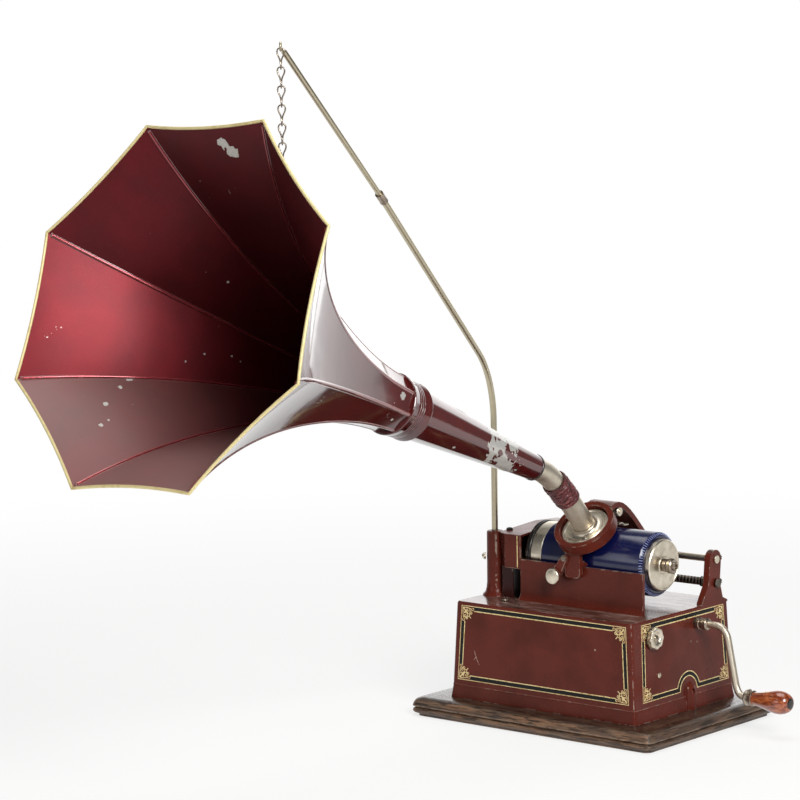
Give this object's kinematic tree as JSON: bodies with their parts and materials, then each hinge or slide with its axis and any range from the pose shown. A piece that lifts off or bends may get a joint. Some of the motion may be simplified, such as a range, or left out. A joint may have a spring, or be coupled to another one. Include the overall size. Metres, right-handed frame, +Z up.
{
  "type": "cylinder phonograph",
  "caption": "Spring-driven cylinder phonograph with maroon enamelled case on an oak board, blue record, carriage with reproducer, and octagonal horn on a crane and chain.",
  "frame": {"origin": "centre of the base board's underside", "axes": "+X along the mandrel to its free end, on the crank side; the horn opens toward -Y; +Z up"},
  "size_m": [0.3292, 0.6969, 0.6033],
  "materials": {
    "oak": "worn dark oak",
    "enamel": "maroon enamel, satin",
    "horn_enamel": "deep red enamel, glossy",
    "gilt": "pale gold paint",
    "nickel": "worn nickel plate",
    "brass": "plain brass",
    "steel": "oiled steel",
    "black": "black",
    "wax": "dark royal blue, glossy",
    "rubber": "aged red-brown rubber",
    "amber_wood": "amber-brown varnished wood"
  },
  "bodies": {
    "machine": {"base_board": "oak", "case_casting": "enamel", "gear_cover": "enamel", "bed_screw": "nickel", "crane_clamp_screw": "nickel", "guide_rod": "nickel", "motor_frame": "brass"},
    "mandrel": {"mandrel": "nickel", "mandrel_flange": "black", "mandrel_shaft": "nickel", "mandrel_gear": "brass"},
    "record": {"cylinder_record": "wax"},
    "transfer": {"transfer_gear": "brass"},
    "idler": {"idler_gear": "brass"},
    "feed": {"feed_screw": "steel", "feed_gear": "brass"},
    "drive": {"drive_shaft": "steel", "drive_wheel": "brass"},
    "barrel": {"spring_barrel": "brass", "barrel_lid": "brass", "mainspring": "steel"},
    "governor": {"governor": "steel"},
    "arbor": {"winding_arbor": "steel"},
    "pawl": {"pawl": "steel"},
    "knob": {"start_stop_knob": "nickel"},
    "crank": {"winding_shaft": "steel", "crank_arm": "nickel"},
    "grip": {"crank_grip": "amber_wood"},
    "carriage": {"carriage_bush": "nickel"},
    "arm": {"carriage_arm": "enamel", "reproducer": "nickel", "elbow_lower_tube": "nickel", "rubber_sleeve": "rubber"},
    "weight": {"floating_weight": "brass"},
    "lever": {"lift_lever": "enamel", "lift_knob": "nickel"},
    "horn": {"elbow_upper_tube": "nickel", "horn_panel_1": "horn_enamel", "horn_panel_2": "horn_enamel", "horn_panel_3": "horn_enamel", "horn_panel_4": "horn_enamel", "horn_panel_5": "horn_enamel", "horn_panel_6": "horn_enamel", "horn_panel_7": "horn_enamel", "horn_panel_8": "horn_enamel", "horn_rim": "gilt", "horn_collar": "horn_enamel", "horn_tail": "horn_enamel", "horn_eye": "nickel"},
    "crane": {"crane_lower_rod": "nickel", "crane_upper_rod": "nickel", "crane_ferrule": "black"},
    "chain": {"chain_link_1": "nickel", "chain_link_2": "nickel", "chain_link_3": "nickel", "chain_link_4": "nickel", "chain_link_5": "nickel", "chain_link_6": "nickel", "chain_link_7": "nickel", "chain_hook": "nickel"}
  },
  "joints": [
    {"name": "mandrel_turn", "type": "hinge", "parent": "machine", "child": "mandrel", "pos_m": [0, -0.0026, 0.14345], "axis": [1, 0, 0], "continuous": true},
    {"name": "record_slide", "type": "slide", "parent": "mandrel", "child": "record", "axis": [1, 0, 0], "range_m": [0, 0.052]},
    {"name": "transfer_turn", "type": "hinge", "parent": "machine", "child": "transfer", "pos_m": [-0.069, -0.0026, 0.11145], "axis": [1, 0, 0], "continuous": true},
    {"name": "idler_turn", "type": "hinge", "parent": "machine", "child": "idler", "pos_m": [-0.069, 0.02785, 0.13765], "axis": [1, 0, 0], "continuous": true},
    {"name": "feed_turn", "type": "hinge", "parent": "machine", "child": "feed", "pos_m": [0, 0.054, 0.121], "axis": [1, 0, 0], "continuous": true},
    {"name": "drive_turn", "type": "hinge", "parent": "machine", "child": "drive", "pos_m": [0, -0.006, 0.06357], "axis": [1, 0, 0], "continuous": true},
    {"name": "barrel_turn", "type": "hinge", "parent": "machine", "child": "barrel", "pos_m": [-0.015, 0.03172, 0.05894], "axis": [1, 0, 0], "continuous": true},
    {"name": "governor_turn", "type": "hinge", "parent": "machine", "child": "governor", "pos_m": [0, -0.03388, 0.0695], "axis": [1, 0, 0], "continuous": true},
    {"name": "crank_turn", "type": "hinge", "parent": "machine", "child": "crank", "pos_m": [0.09, 0.0224, 0.0906], "axis": [1, 0, 0], "continuous": true},
    {"name": "arbor_turn", "type": "hinge", "parent": "machine", "child": "arbor", "pos_m": [0, 0.03172, 0.05894], "axis": [1, 0, 0], "continuous": true},
    {"name": "grip_spin", "type": "hinge", "parent": "crank", "child": "grip", "pos_m": [0.17, 0.0224, 0.031], "axis": [1, 0, 0], "continuous": true},
    {"name": "pawl_lift", "type": "hinge", "parent": "machine", "child": "pawl", "pos_m": [0.047, 0.04672, 0.04934], "axis": [1, 0, 0], "range_deg": [0, 12]},
    {"name": "start_stop", "type": "hinge", "parent": "machine", "child": "knob", "pos_m": [0.1, -0.044, 0.0878], "axis": [1, 0, 0], "range_deg": [0, 60]},
    {"name": "carriage_slide", "type": "slide", "parent": "machine", "child": "carriage", "axis": [1, 0, 0], "range_m": [-0.036, 0.057]},
    {"name": "carriage_lift", "type": "hinge", "parent": "carriage", "child": "arm", "pos_m": [0.0135, 0.054, 0.142], "axis": [-1, 0, 0], "range_deg": [0, 3.5]},
    {"name": "weight_float", "type": "hinge", "parent": "arm", "child": "weight", "pos_m": [0.0135, -0.01058, 0.17847], "axis": [-1, 0, 0], "range_deg": [0, 1]},
    {"name": "lift_lever_turn", "type": "hinge", "parent": "arm", "child": "lever", "pos_m": [0.004, -0.04, 0.148], "axis": [0, 1, 0], "range_deg": [0, 21]},
    {"name": "horn_pitch", "type": "hinge", "parent": "arm", "child": "horn", "pos_m": [0.0135, -0.07184, 0.21999], "axis": [-1, 0, 0], "range_deg": [-5, 0]},
    {"name": "crane_swivel", "type": "hinge", "parent": "machine", "child": "crane", "pos_m": [-0.086, -0.028, 0.158], "axis": [0, 0, 1], "range_deg": [-6, 9]},
    {"name": "chain_swing", "type": "hinge", "parent": "crane", "child": "chain", "pos_m": [0.0133, -0.41197, 0.59937], "axis": [1, 0, 0], "range_deg": [-7, 5]}
  ],
  "couplings": [
    {"joint": "transfer_turn", "follows": "mandrel_turn", "ratio": -0.77778},
    {"joint": "idler_turn", "follows": "mandrel_turn", "ratio": -0.82353},
    {"joint": "feed_turn", "follows": "mandrel_turn", "ratio": 1},
    {"joint": "drive_turn", "follows": "mandrel_turn", "ratio": 0.46667},
    {"joint": "barrel_turn", "follows": "mandrel_turn", "ratio": -0.16667},
    {"joint": "governor_turn", "follows": "mandrel_turn", "ratio": -1.75},
    {"joint": "arbor_turn", "follows": "crank_turn", "ratio": -0.25714},
    {"joint": "lift_lever_turn", "follows": "carriage_lift", "ratio": 5.7143},
    {"joint": "horn_pitch", "follows": "carriage_lift", "ratio": -1.33},
    {"joint": "crane_swivel", "follows": "carriage_slide", "rad_per_m": 2.62},
    {"joint": "chain_swing", "follows": "carriage_slide", "rad_per_m": -1.75}
  ]
}
